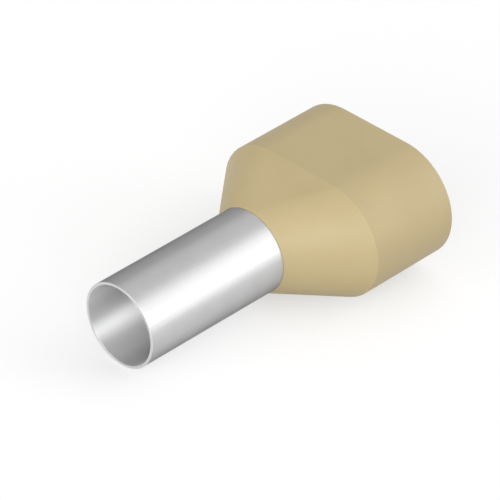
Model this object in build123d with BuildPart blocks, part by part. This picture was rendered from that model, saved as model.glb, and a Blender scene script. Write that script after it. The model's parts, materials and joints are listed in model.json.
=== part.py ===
from build123d import *

import os
from math import atan2, cos, degrees, sin

# Twin wire-end ferrule: a drawn metal sleeve held in a moulded plastic collar.
# Two insulated wires enter the oblong collar side by side, and their bare strands
# run on together into the round sleeve, which is crimped.
# Lengths are in millimetres. The ferrule lies on its side as it comes to rest: on the
# lower edge of the sleeve's mouth and on the crease where the collar's taper ends.

# Sleeve, with its lengths measured along its axis from the mouth
sleeve_diameter = 6.2  # outside
sleeve_wall = 0.2
bare_length = 12.0  # mouth to the collar's neck
seated_length = 2.9  # straight stretch that the collar grips
flare_length = 0.6  # cone at the inner end, which keeps the collar on
flare_rise = 0.3  # what the cone adds to the radius
flare_bend = 0.5  # radius of the bend into the cone
mouth_round = 0.04  # broken edge of the cut tube

# Collar, with its lengths measured along its axis from the neck
collar_length = 12.0
taper_length = 4.8  # neck to crease
collar_width = 14.4
collar_height = 8.6
collar_wall = 0.7
neck_lip = 0.05  # thin front edge round the sleeve
funnel_length = 1.8  # from the flare to the pocket
sleeve_gap = 0.01  # radial clearance of the sleeve in the collar
entry_round = 0.2  # inner edge of the wire entry
rim_round = 0.1  # outer edge of the wire entry

# Worked out from the sizes above
sleeve_radius = sleeve_diameter / 2
flare_start = bare_length + seated_length
sleeve_length = flare_start + flare_length
crease_at = bare_length + taper_length
entry_at = bare_length + collar_length
pocket_at = sleeve_length + funnel_length
pocket_width = collar_width - 2 * collar_wall
pocket_height = collar_height - 2 * collar_wall

# The ferrule leans on the mouth's lower edge and on the crease, so its axis rises by
# the angle between those two lines. The origin is under the middle of the whole part.
lean = atan2(collar_height / 2 - sleeve_radius, crease_at - mouth_round)
mouth_height = sleeve_radius * cos(lean) - mouth_round * sin(lean)
front_reach = (sleeve_radius - mouth_round) * sin(lean)
back_reach = (entry_at - rim_round) * cos(lean) + (collar_height / 2 - rim_round) * sin(lean) + rim_round
mouth_centre = Vector((front_reach - back_reach) / 2, 0, mouth_height)
along = Vector(cos(lean), 0, sin(lean))

# Cross-sections lie in the mouth's plane and its offsets: x across, y up, z inwards.
# Profiles of turned forms lie in the side plane: x along the axis, y outwards.
mouth = Plane(mouth_centre, x_dir=(0, 1, 0), z_dir=along)
side = Plane(mouth_centre, x_dir=along, z_dir=(0, -1, 0))
sleeve_axis = Axis(mouth_centre, along)


def sleeve_outside(gap=0):
    # Line of the sleeve's outer surface, moved outwards by a gap.
    level = sleeve_radius + gap
    flare_tip = (sleeve_length, level + flare_rise)
    return FilletPolyline((0, level), (flare_start, level), flare_tip, radius=flare_bend)


def half_disc(section, across, radius, hand):
    # Half circle that bulges to one hand, centred at a distance across the section.
    with BuildSketch(section) as half:
        with BuildLine():
            arc = CenterArc((across, 0), radius, -90 * hand, 180)
            Line(arc @ 1, arc @ 0)
        make_face()
    return half.sketch


def round_to_slot(start, end, round_radius, slot_width, slot_height, mode=Mode.ADD):
    # Straight-line blend from a circle at start to a slot at end. Each rounded end of
    # the slot is half an oblique cone, and a wedge with flat sides joins the two halves.
    slot_radius = slot_height / 2
    half_flat = slot_width / 2 - slot_radius
    for hand in (-1, 1):
        near = half_disc(mouth.offset(start), 0, round_radius, hand)
        far = half_disc(mouth.offset(end), hand * half_flat, slot_radius, hand)
        loft([near, far], ruled=True, mode=mode)
    ridge = [(0, level, start) for level in (-round_radius, round_radius)]
    base = [(hand * half_flat, level, end) for hand in (-1, 1) for level in (-slot_radius, slot_radius)]
    ConvexPolyhedron(ridge + base, mode=mode)


# Sleeve: a thin tube whose inner end is flared
with BuildPart(mouth) as crimp_sleeve:
    with BuildSketch(side):
        with BuildLine():
            sleeve_outside()
            offset(amount=sleeve_wall, side=Side.RIGHT)
        make_face()
    revolve(axis=sleeve_axis)
    fillet(crimp_sleeve.edges().group_by(sleeve_axis)[0], mouth_round)

# Collar: an oblong tube that tapers to the sleeve
with BuildPart(mouth) as insulating_collar:
    round_to_slot(bare_length, crease_at, sleeve_radius + neck_lip, collar_width, collar_height)
    with BuildSketch(mouth.offset(crease_at)):
        SlotOverall(collar_width, collar_height)
    extrude(amount=entry_at - crease_at)
    # Seat of the sleeve, with its flare
    with BuildSketch(side):
        with BuildLine():
            seat = sleeve_outside(sleeve_gap)
            Polyline(seat @ 1, (sleeve_length, 0), (0, 0), seat @ 0)
        make_face()
    revolve(axis=sleeve_axis, mode=Mode.SUBTRACT)
    # Funnel that gathers the strands, and the pocket for the two insulated wires
    flare_radius = sleeve_radius + sleeve_gap + flare_rise
    round_to_slot(sleeve_length, pocket_at, flare_radius, pocket_width, pocket_height, mode=Mode.SUBTRACT)
    with BuildSketch(mouth.offset(pocket_at)):
        SlotOverall(pocket_width, pocket_height)
    extrude(amount=entry_at - pocket_at, mode=Mode.SUBTRACT)
    fillet(insulating_collar.faces().sort_by(sleeve_axis)[-1].outer_wire().edges(), rim_round)
    fillet(insulating_collar.faces().sort_by(sleeve_axis)[-1].inner_wires()[0].edges(), entry_round)

os.makedirs("parts", exist_ok=True)
for name, piece in (("crimp_sleeve", crimp_sleeve), ("insulating_collar", insulating_collar)):
    piece.part.label = name
    export_step(piece.part, f"parts/{name}.step")

print(f"lean {degrees(lean):.3f} degrees, mouth centre {mouth_centre.X:.3f}, {mouth_centre.Z:.3f}")
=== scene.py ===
# Twin wire ferrule: a drawn, tinned sleeve in a moulded ivory collar, lying on a pale table.
import json
import math

import bmesh
import bpy
import numpy as np
from mathutils import Matrix, Vector


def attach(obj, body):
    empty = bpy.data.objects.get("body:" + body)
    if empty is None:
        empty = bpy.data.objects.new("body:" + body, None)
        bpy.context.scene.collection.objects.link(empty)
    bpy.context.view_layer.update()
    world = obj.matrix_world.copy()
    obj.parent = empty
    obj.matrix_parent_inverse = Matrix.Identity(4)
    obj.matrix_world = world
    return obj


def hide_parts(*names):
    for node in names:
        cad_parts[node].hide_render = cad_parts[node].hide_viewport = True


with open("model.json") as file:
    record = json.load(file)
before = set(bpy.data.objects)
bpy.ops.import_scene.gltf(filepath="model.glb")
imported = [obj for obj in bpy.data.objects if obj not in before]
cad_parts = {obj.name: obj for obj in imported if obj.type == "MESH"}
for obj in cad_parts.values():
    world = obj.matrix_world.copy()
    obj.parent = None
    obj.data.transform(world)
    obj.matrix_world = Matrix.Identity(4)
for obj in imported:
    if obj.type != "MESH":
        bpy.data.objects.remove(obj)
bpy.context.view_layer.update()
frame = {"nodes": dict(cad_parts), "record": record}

mm = 0.001
samePoint = 1e-4 * mm  # points nearer to each other than this are one

# The ferrule's own axes: along runs from the mouth into the collar, across over the
# collar's wide side, up through its thin side.
bore = next(m for m in frame["record"]["mounts"] if m["name"] == "conductor_bore")
along = np.array(bore["axis"]) / np.linalg.norm(bore["axis"])
across = np.array([0.0, 1.0, 0.0])
up = np.cross(along, across)
lean = math.atan2(along[2], along[0])


def nodePoints(name):
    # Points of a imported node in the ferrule's axes, in mm from the bore's stated point:
    # each is the dot product of the point with the three axes.
    data = frame["nodes"][name].data
    flat = np.empty(len(data.vertices) * 3)
    data.vertices.foreach_get("co", flat)
    points = flat.reshape(-1, 3) - np.array(bore["pos_m"])
    return points @ np.stack([along, across, up], axis=1) / mm


sleevePoints = nodePoints("crimp_sleeve")
collarPoints = nodePoints("insulating_collar")
mouthAt = sleevePoints[:, 0].min()
sleevePoints[:, 0] -= mouthAt
collarPoints[:, 0] -= mouthAt
mouth = np.array(bore["pos_m"]) + along * mouthAt * mm
print(f"frame: ferrule leans {math.degrees(lean):.2f} degrees, mouth at {mouth / mm} mm")


def place(distance, sideways, height):
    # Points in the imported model's frame, in metres: the mouth's centre plus each axis times
    # its distance in mm. Arrays of distances end in an axis of one.
    return mouth + (along * distance + across * sideways + up * height) * mm


# Pieces

def roundedLoop(corners, longest, steps=7, guard=0.6):
    # Closed profile through corners (distance, radius, half flat, cut), in mm. Each corner
    # becomes a quadratic curve from cut before it to cut after it. Guard points, which lie
    # guard * cut outside the curve, keep the shading of the straight stretches flat.
    # Stretches longer than longest are divided evenly.
    spots = np.array([c[:3] for c in corners], float)
    cuts = np.array([c[3] for c in corners], float)
    t = np.linspace(0, 1, steps + 1)[:, None]
    runs = []
    for before, here, after, cut in zip(np.roll(spots, 1, 0), spots, np.roll(spots, -1, 0), cuts):
        back = (before - here) / np.linalg.norm(before - here)
        on = (after - here) / np.linalg.norm(after - here)
        start, end = here + back * cut, here + on * cut
        curve = (1 - t) ** 2 * start + 2 * t * (1 - t) * here + t ** 2 * end
        outside = cut * (1 + guard)
        runs.append(np.vstack([here + back * outside, curve, here + on * outside]))
    path = []
    for run, following in zip(runs, runs[1:] + runs[:1]):
        path.append(run)
        gap = np.linalg.norm(following[0] - run[-1])
        share = np.linspace(0, 1, max(1, math.ceil(gap / longest)) + 1)[1:-1, None]
        path.append(run[-1] + share * (following[0] - run[-1]))
    return np.vstack(path)


def slotRing(arcSteps, flatSteps):
    # Ring of a slot, as cosine, sine and side for each point, so that a point lies at
    # side * half flat + radius * cosine across, and radius * sine up.
    angle = np.linspace(-math.pi / 2, math.pi / 2, arcSteps + 1)
    flat = np.linspace(1, -1, flatSteps + 1)[1:-1]
    level = np.ones_like(flat)
    cosine = np.concatenate([np.cos(angle), 0 * flat, -np.cos(angle), 0 * flat])
    sine = np.concatenate([np.sin(angle), level, np.sin(-angle), -level])
    side = np.concatenate([np.ones_like(angle), flat, -np.ones_like(angle), -flat])
    return cosine, sine, side


def ringSurface(name, profile, ring, material):
    # Closed surface: every profile point (distance, radius, half flat) carries one ring,
    # and quads join neighbours in both directions, round the ring and round the profile.
    cosine, sine, side = ring
    distance, radius, halfFlat = profile.T
    sideways = halfFlat[:, None] * side + radius[:, None] * cosine
    height = radius[:, None] * sine
    grid = place(distance[:, None, None], sideways[..., None], height[..., None])
    index = np.arange(sideways.size).reshape(sideways.shape)
    nextRow, nextColumn = np.roll(index, -1, 0), np.roll(index, -1, 1)
    quads = np.stack([index, nextRow, np.roll(nextRow, -1, 1), nextColumn], axis=-1).reshape(-1, 4)
    mesh = bpy.data.meshes.new(name)
    mesh.from_pydata(grid.reshape(-1, 3).tolist(), [], quads.tolist())
    # Where the profile is round, a slot's flats shrink to one point: such points are merged.
    # A negative volume means that the faces point inwards.
    work = bmesh.new()
    work.from_mesh(mesh)
    bmesh.ops.remove_doubles(work, verts=work.verts, dist=samePoint)
    if work.calc_volume(signed=True) < 0:
        bmesh.ops.reverse_faces(work, faces=work.faces)
    work.to_mesh(mesh)
    work.free()
    mesh.polygons.foreach_set("use_smooth", np.ones(len(mesh.polygons), bool))
    mesh.materials.append(material)
    piece = bpy.data.objects.new(name, mesh)
    bpy.context.scene.collection.objects.link(piece)
    print(f"piece: {name}, {len(mesh.vertices)} points, {len(mesh.polygons)} faces")
    return piece


# Materials

class Wire:
    # One socket's output. Arithmetic on wires and numbers adds Math nodes.
    def __init__(self, tree, socket):
        self.tree, self.socket = tree, socket

    def math(self, operation, *values):
        # One Math node, with its wires and numbers in order.
        return self.tree.node("ShaderNodeMath", {"operation": operation}, dict(enumerate(values)))

    def __add__(self, other):
        return self.math("ADD", self, other)

    def __sub__(self, other):
        return self.math("SUBTRACT", self, other)

    def __rsub__(self, other):
        return self.math("SUBTRACT", other, self)

    def __mul__(self, other):
        return self.math("MULTIPLY", self, other)

    __radd__, __rmul__ = __add__, __mul__

    def atLeast(self, least):
        # The larger of the wire and a number.
        return self.math("MAXIMUM", self, least)


class Tree:
    # Node tree of a material or a world.
    def __init__(self, owner):
        owner.use_nodes = True
        self.nodes, self.links = owner.node_tree.nodes, owner.node_tree.links
        self.nodes.clear()

    def node(self, kind, settings=None, sockets=None, output=0):
        # A node of a kind: its settings first, then its sockets' wires, colours or numbers.
        # Its output, by number or name, is what other nodes read.
        made = self.nodes.new(kind)
        for key, value in (settings or {}).items():
            setattr(made, key, value)
        for key, value in (sockets or {}).items():
            socket = made.inputs[key]
            if isinstance(value, Wire):
                self.links.new(value.socket, socket)
            elif socket.type == "RGBA":
                socket.default_value = (*value, 1)
            else:
                socket.default_value = value
        return Wire(self, made.outputs[output]) if made.outputs else None

    def mixColour(self, factor, first, second):
        # Blend from the first colour at 0 to the second at 1. A Mix node's factor is its
        # input 0, its colours are inputs 6 and 7, and the blend is output 2.
        return self.node("ShaderNodeMix", {"data_type": "RGBA"}, {0: factor, 6: first, 7: second}, 2)

    def surface(self, shader):
        # The shader becomes the material's surface.
        self.node("ShaderNodeOutputMaterial", None, {"Surface": shader})


def ferruleSpace(tree):
    # Object coordinates in mm from the mouth, turned so that x runs along the ferrule.
    coordinates = tree.node("ShaderNodeTexCoord", None, None, "Object")
    turned = {"Vector": coordinates, "Location": tuple(mouth), "Rotation": (0, -lean, 0)}
    local = tree.node("ShaderNodeMapping", {"vector_type": "TEXTURE"}, turned)
    return tree.node("ShaderNodeVectorMath", {"operation": "SCALE"}, {0: local, "Scale": 1 / mm})


def stretched(tree, vector, scales):
    # The same coordinates, each axis multiplied by its own scale.
    return tree.node("ShaderNodeVectorMath", {"operation": "MULTIPLY"}, {0: vector, 1: scales})


def length(tree, vector):
    # Distance from the zero point: the root of the sum of squares.
    return tree.node("ShaderNodeVectorMath", {"operation": "LENGTH"}, {0: vector}, "Value")


def fade(tree, value, start, end):
    # 0 up to start, 1 from end on, and a smooth step between them.
    return tree.node("ShaderNodeMapRange", {"interpolation_type": "SMOOTHSTEP"}, {
        "Value": value, "From Min": start, "From Max": end,
    })


def noise(tree, vector, scale, detail, roughness=0.5):
    # Noise value about 0.5, at scale waves per mm.
    sockets = {"Vector": vector, "Scale": scale, "Detail": detail, "Roughness": roughness}
    return tree.node("ShaderNodeTexNoise", None, sockets)


tinLook = {
    "colour": (0.60, 0.60, 0.605),  # tin plating
    "shade": (0.52, 0.52, 0.525),  # its duller patches
    "roughness": 0.40,
    "roughnessSpread": 0.10,
    "grazing": (0.20, 0.20, 0.20),  # dulled plating reflects less at a low angle
    "cutColour": (0.69, 0.69, 0.695),  # edge of the mouth, rubbed bright
    "cutFade": (0.03, 0.06),  # mm from the mouth where that fades out
    "borePaintedPaleColour": (0.885, 0.885, 0.89),  # inside, painted paler than the outer tin as painted light against the deep bore's shade, and duller
    # the bore's duller patches, also painted paler as painted light against the bore's shade
    "borePaintedPalePatches": (0.835, 0.835, 0.84),
    "boreGrazing": (0.1, 0.1, 0.1),
    "boreRoughness": 0.60,
    "boreRings": 0.96,  # how far the mandrel's fine rings stretch the bore's shine lengthwise
    "boreFade": (0.005, 0.035),  # mm into the wall where the bore's finish fades out
    "lines": {"scale": 7.0, "detail": 3.0},  # left by drawing, lines to a mm round the tube
    "lineDepth": 0.003,  # mm
    "lineStretch": 0.02,  # how slowly a line changes along itself
    "patches": {"scale": 0.9, "detail": 4.0, "roughness": 0.6},  # patches to a mm
}


def boreMask(tree, space, look, size):
    # 1 on the inner wall, 0 on the outer one, from the radius less the flare's rise, which
    # is the flare's slope times the distance past its start.
    radius = length(tree, stretched(tree, space, (0, 1, 1)))
    distance = tree.node("ShaderNodeSeparateXYZ", None, {0: space})
    slope = size["flareRise"] / size["flareLength"]
    rise = (distance - size["flareFrom"]).atLeast(0.0) * slope
    fadeFrom, fadeTo = look["boreFade"]
    return 1 - fade(tree, radius - rise, size["boreRadius"] + fadeFrom, size["boreRadius"] + fadeTo)


def tinMaterial(look, size):
    # Tin: metal whose colour and roughness follow soft patches of plating, with fine lines along it
    # as bump. The bore's colour is painted paler than the outer tin, painted light that offsets the
    # shade deep in the bore. The bore is also duller, with its shine stretched along the ferrule, so
    # it has its own shader, and the mask mixes the two.
    material = bpy.data.materials.new("tinnedCopper")
    tree = Tree(material)
    space = ferruleSpace(tree)
    lines = noise(tree, stretched(tree, space, (look["lineStretch"], 1, 1)), **look["lines"])
    patches = noise(tree, space, **look["patches"])
    uneven = (patches + lines - 1) * look["roughnessSpread"]
    bump = {"Strength": 1.0, "Distance": mm, "Height": lines * look["lineDepth"]}
    shared = {"Metallic": 1.0, "Normal": tree.node("ShaderNodeBump", None, bump)}
    fromMouth = tree.node("ShaderNodeSeparateXYZ", None, {0: space})
    plated = tree.mixColour(patches, look["shade"], look["colour"])
    pastEdge = fade(tree, fromMouth, *look["cutFade"])
    outer = tree.node("ShaderNodeBsdfPrincipled", None, {
        "Base Color": tree.mixColour(pastEdge, look["cutColour"], plated),
        "Roughness": uneven + look["roughness"],
        "Specular Tint": look["grazing"],
        **shared,
    })
    inner = tree.node("ShaderNodeBsdfPrincipled", None, {
        # the bore's colours are painted paler than the outer tin: painted light that offsets the
        # shade in the deep bore
        "Base Color": tree.mixColour(patches, look["borePaintedPalePatches"], look["borePaintedPaleColour"]),
        "Roughness": uneven + look["boreRoughness"],
        "Specular Tint": look["boreGrazing"],
        "Anisotropic": look["boreRings"],
        **shared,
    })
    inside = boreMask(tree, space, look, size)
    tree.surface(tree.node("ShaderNodeMixShader", None, {0: inside, 1: outer, 2: inner}))
    return material


ivoryLook = {
    "colour": (0.502, 0.404, 0.217),
    "shade": (0.453, 0.359, 0.188),
    "roughness": 0.50,
    "roughnessSpread": 0.10,
    "refraction": 1.49,
    "cloud": {"scale": 0.35, "detail": 3.0},  # slow changes of the pigment, waves to a mm
    "swell": {"scale": 2.2, "detail": 1.0},  # where the plastic shrank, waves to a mm
    "swellDepth": 0.005,  # mm
    "grain": {"scale": 12.0, "detail": 2.0},  # fine grain of the mould, waves to a mm
    "grainDepth": 0.0035,  # mm
}


def ivoryMaterial(look):
    # Moulded plastic: pigment that clouds slowly, shallow unevenness from shrinking, and the
    # mould's fine grain, the last two as bump and as small changes of roughness.
    material = bpy.data.materials.new("ivoryPlastic")
    tree = Tree(material)
    space = ferruleSpace(tree)
    cloud = noise(tree, space, **look["cloud"])
    swell = noise(tree, space, **look["swell"])
    grain = noise(tree, space, **look["grain"])
    height = swell * look["swellDepth"] + grain * look["grainDepth"]
    bump = {"Strength": 1.0, "Distance": mm, "Height": height}
    tree.surface(tree.node("ShaderNodeBsdfPrincipled", None, {
        "Base Color": tree.mixColour(cloud, look["shade"], look["colour"]),
        "Roughness": (grain + swell - 1) * look["roughnessSpread"] + look["roughness"],
        "IOR": look["refraction"],
        "Normal": tree.node("ShaderNodeBump", None, bump),
    }))
    return material


# Sleeve, with sizes in mm and distances from the mouth

bareTube = sleevePoints[sleevePoints[:, 0] < collarPoints[:, 0].min()]
tubeRadii = np.hypot(bareTube[:, 1], bareTube[:, 2])
sleeve = {
    "radius": tubeRadii.max(),
    "boreRadius": tubeRadii.min(),
    "flareFrom": 14.9,
    "flareLength": 0.6,
    "flareRise": 0.3,
    "bendCut": 0.118,  # how far the bend into the flare reaches each way
    "innerReach": 1.4,  # and how many times as far on the inside
    "tipCut": 0.02,  # how far the rounding of the inner end reaches
    "edgeCut": 0.03,  # and that of the mouth
    "longest": 0.5,  # longest face along the profile
    "ringSteps": 288,
    "shineCentre": (0, 10, 0),  # metres
}


def sleeveProfile(size):
    # Outside from the mouth to the flare's tip, then back along the inside, which lies
    # one wall inwards, square to the outside.
    wall = size["radius"] - size["boreRadius"]
    slope = math.atan2(size["flareRise"], size["flareLength"])
    tipAt = size["flareFrom"] + size["flareLength"]
    tipRadius = size["radius"] + size["flareRise"]
    innerBendAt = size["flareFrom"] + wall * math.tan(slope / 2)
    return [
        (0, size["boreRadius"], 0, size["edgeCut"]),
        (0, size["radius"], 0, size["edgeCut"]),
        (size["flareFrom"], size["radius"], 0, size["bendCut"]),
        (tipAt, tipRadius, 0, size["tipCut"]),
        (tipAt + wall * math.sin(slope), tipRadius - wall * math.cos(slope), 0, size["tipCut"]),
        (innerBendAt, size["boreRadius"], 0, size["bendCut"] * size["innerReach"]),
    ]


circle = np.linspace(0, 2 * math.pi, sleeve["ringSteps"], endpoint=False)
roundRing = (np.cos(circle), np.sin(circle), np.zeros_like(circle))
tubeLoop = roundedLoop(sleeveProfile(sleeve), sleeve["longest"])
drawnSleeve = ringSurface("drawnSleeve", tubeLoop, roundRing, tinMaterial(tinLook, sleeve))
# Shine is stretched round the vertical line through the centre of a mesh's texture space:
# far off to one side, that is along the ferrule
drawnSleeve.data.use_auto_texspace = False
drawnSleeve.data.texspace_location = sleeve["shineCentre"]
drawnSleeve.data.texspace_size = (1, 1, 1)
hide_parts("crimp_sleeve")
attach(drawnSleeve, "root")

# Collar, with sizes in mm and distances from the mouth

sameWall = 0.01  # points this near to the widest lie on the side wall
halfWidth = np.abs(collarPoints[:, 1]).max()
wallPoints = collarPoints[np.abs(collarPoints[:, 1]) > halfWidth - sameWall]
collar = {
    "neckAt": collarPoints[:, 0].min(),
    "creaseAt": wallPoints[:, 0].min(),
    "entryAt": collarPoints[:, 0].max(),
    "halfWidth": halfWidth,
    "halfHeight": np.abs(collarPoints[:, 2]).max(),
    "wall": 0.7,
    "neckLip": 0.05,
    "seatGap": 0.002,
    "funnelLength": 1.8,
    "seatCut": 0.003,  # cuts: how far the rounding of each edge reaches
    "lipCut": 0.012,
    "creaseCut": 0.05,
    "rimCut": 0.1,
    "entryCut": 0.2,
    "pocketCut": 0.08,
    "funnelCut": 0.03,
    "longest": 0.5,  # longest face along the profile
    "arcSteps": 112,
    "flatSteps": 28,
}


def collarProfile(size, tube):
    # Outside from the neck over the crease to the entry, then back through the pocket,
    # the funnel, the flare's seat and the bore that the sleeve fills.
    halfFlat = size["halfWidth"] - size["halfHeight"]
    seat = tube["radius"] + size["seatGap"]
    flareTip = tube["flareFrom"] + tube["flareLength"]
    pocket = size["halfHeight"] - size["wall"]
    return [
        (size["neckAt"], seat, 0, size["seatCut"]),
        (size["neckAt"], tube["radius"] + size["neckLip"], 0, size["lipCut"]),
        (size["creaseAt"], size["halfHeight"], halfFlat, size["creaseCut"]),
        (size["entryAt"], size["halfHeight"], halfFlat, size["rimCut"]),
        (size["entryAt"], pocket, halfFlat, size["entryCut"]),
        (flareTip + size["funnelLength"], pocket, halfFlat, size["pocketCut"]),
        (flareTip, seat + tube["flareRise"], 0, size["funnelCut"]),
        (tube["flareFrom"], seat, 0, tube["bendCut"]),
    ]


collarLoop = roundedLoop(collarProfile(collar, sleeve), collar["longest"])
collarRing = slotRing(collar["arcSteps"], collar["flatSteps"])
mouldedCollar = ringSurface("mouldedCollar", collarLoop, collarRing, ivoryMaterial(ivoryLook))
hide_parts("insulating_collar")
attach(mouldedCollar, "root")

# Stage, with sizes in metres

tableLook = {
    "colour": (0.45, 0.45, 0.45),
    "glow": 0.56,  # what the camera and reflections see besides the lit colour
    "fade": (0.30, 1.40),  # from the middle: white up to here, the room's grey from there on
    "reach": 1.5,  # radius of the table
    "rimSteps": 96,
}
room = {"colour": (0.44, 0.44, 0.44), "strength": 1.0}


def tableTop(look, surroundings):
    # Flat disc, its rim at reach times cosine and sine. Its lit colour fades into the grey
    # of the room with distance.
    steps = np.linspace(0, 2 * math.pi, look["rimSteps"], endpoint=False)
    rim = np.stack([np.cos(steps), np.sin(steps), 0 * steps], axis=1) * look["reach"]
    mesh = bpy.data.meshes.new("tableTop")
    mesh.from_pydata(rim.tolist(), [], [list(range(len(steps)))])
    material = bpy.data.materials.new("paleTable")
    tree = Tree(material)
    distance = length(tree, tree.node("ShaderNodeTexCoord", None, None, "Object"))
    seenBy = {kind: tree.node("ShaderNodeLightPath", None, None, f"Is {kind} Ray")
              for kind in ("Camera", "Glossy", "Transmission")}
    seen = (seenBy["Camera"] + seenBy["Glossy"] + seenBy["Transmission"]) * look["glow"]
    lit = tree.node("ShaderNodeBsdfDiffuse", None, {"Color": look["colour"]})
    glow = tree.node("ShaderNodeEmission", None, {"Color": (1, 1, 1), "Strength": seen})
    near = tree.node("ShaderNodeAddShader", None, {0: lit, 1: glow})
    far = tree.node("ShaderNodeEmission", None, {"Color": surroundings["colour"]})
    away = fade(tree, distance, *look["fade"])
    tree.surface(tree.node("ShaderNodeMixShader", None, {0: away, 1: near, 2: far}))
    mesh.materials.append(material)
    table = bpy.data.objects.new("tableTop", mesh)
    bpy.context.scene.collection.objects.link(table)


tableTop(tableLook, room)
world = bpy.data.worlds.new("room")
bpy.context.scene.world = world
worldTree = Tree(world)
background = {"Color": room["colour"], "Strength": room["strength"]}
roomShader = worldTree.node("ShaderNodeBackground", None, background)
worldTree.node("ShaderNodeOutputWorld", None, {"Surface": roomShader})

# Lamps: bearing in degrees anticlockwise from +X, height in degrees above the table, size
# in metres, glow in radiance
lampDistance = 0.8  # metres
lamps = {
    "frontBox": {"bearing": 186, "height": 14, "size": (1.0, 0.4), "glow": 4.1},
    "keyBox": {"bearing": 226, "height": 22, "size": (0.5, 0.5), "glow": 2.45},
    "sideBox": {"bearing": 304, "height": 15, "size": (0.45, 0.5), "glow": 2.25},
    "backBox": {"bearing": 325, "height": 40, "size": (0.5, 0.35), "glow": 1.55},
    "topBox": {"bearing": 0, "height": 55, "size": (1.3, 1.3), "glow": 0.45},
    "farBox": {"bearing": 50, "height": 12, "size": (0.9, 0.4), "glow": 0.30},
}


def areaLamp(name, look):
    # Soft box that faces the ferrule. A flat lamp's power is its radiance * pi * its area.
    data = bpy.data.lights.new(name, "AREA")
    data.shape = "RECTANGLE"
    data.size, data.size_y = look["size"]
    data.energy = look["glow"] * math.pi * look["size"][0] * look["size"][1]
    lamp = bpy.data.objects.new(name, data)
    bearing, height = math.radians(look["bearing"]), math.radians(look["height"])
    level = math.cos(height)
    direction = Vector((level * math.cos(bearing), level * math.sin(bearing), math.sin(height)))
    lamp.location = direction * lampDistance
    lamp.rotation_euler = direction.to_track_quat("Z", "Y").to_euler()
    lamp.visible_camera = False
    bpy.context.scene.collection.objects.link(lamp)


for lampName, lampLook in lamps.items():
    areaLamp(lampName, lampLook)
print(f"stage: table and {len(lamps)} lamps")

# Camera: looks equally along, across and down in the ferrule's own axes
view = {
    "aim": (7.99, -3.99, 4.00),  # mm along, across and up of the mouth's centre
    "distance": 0.26727,  # metres
    "lens": 297.1,  # mm
    "sensor": 36.0,  # mm
    "clip": (0.01, 10),  # metres
}
sight = (along + across - up) / math.sqrt(3)
right = (along - across) / math.sqrt(2)
upright = np.cross(right, sight)
camera = bpy.data.objects.new("camera", bpy.data.cameras.new("camera"))
camera.data.lens, camera.data.sensor_width = view["lens"], view["sensor"]
camera.data.clip_start, camera.data.clip_end = view["clip"]
turn = Matrix(np.stack([right, upright, -sight], axis=1).tolist()).to_4x4()
camera.matrix_world = Matrix.Translation(place(*view["aim"]) - sight * view["distance"]) @ turn
bpy.context.scene.collection.objects.link(camera)
bpy.context.scene.camera = camera
bpy.context.scene.view_settings.view_transform = "Standard"
print(f"camera: {view['lens']} mm lens, {view['distance']} m from its aim")
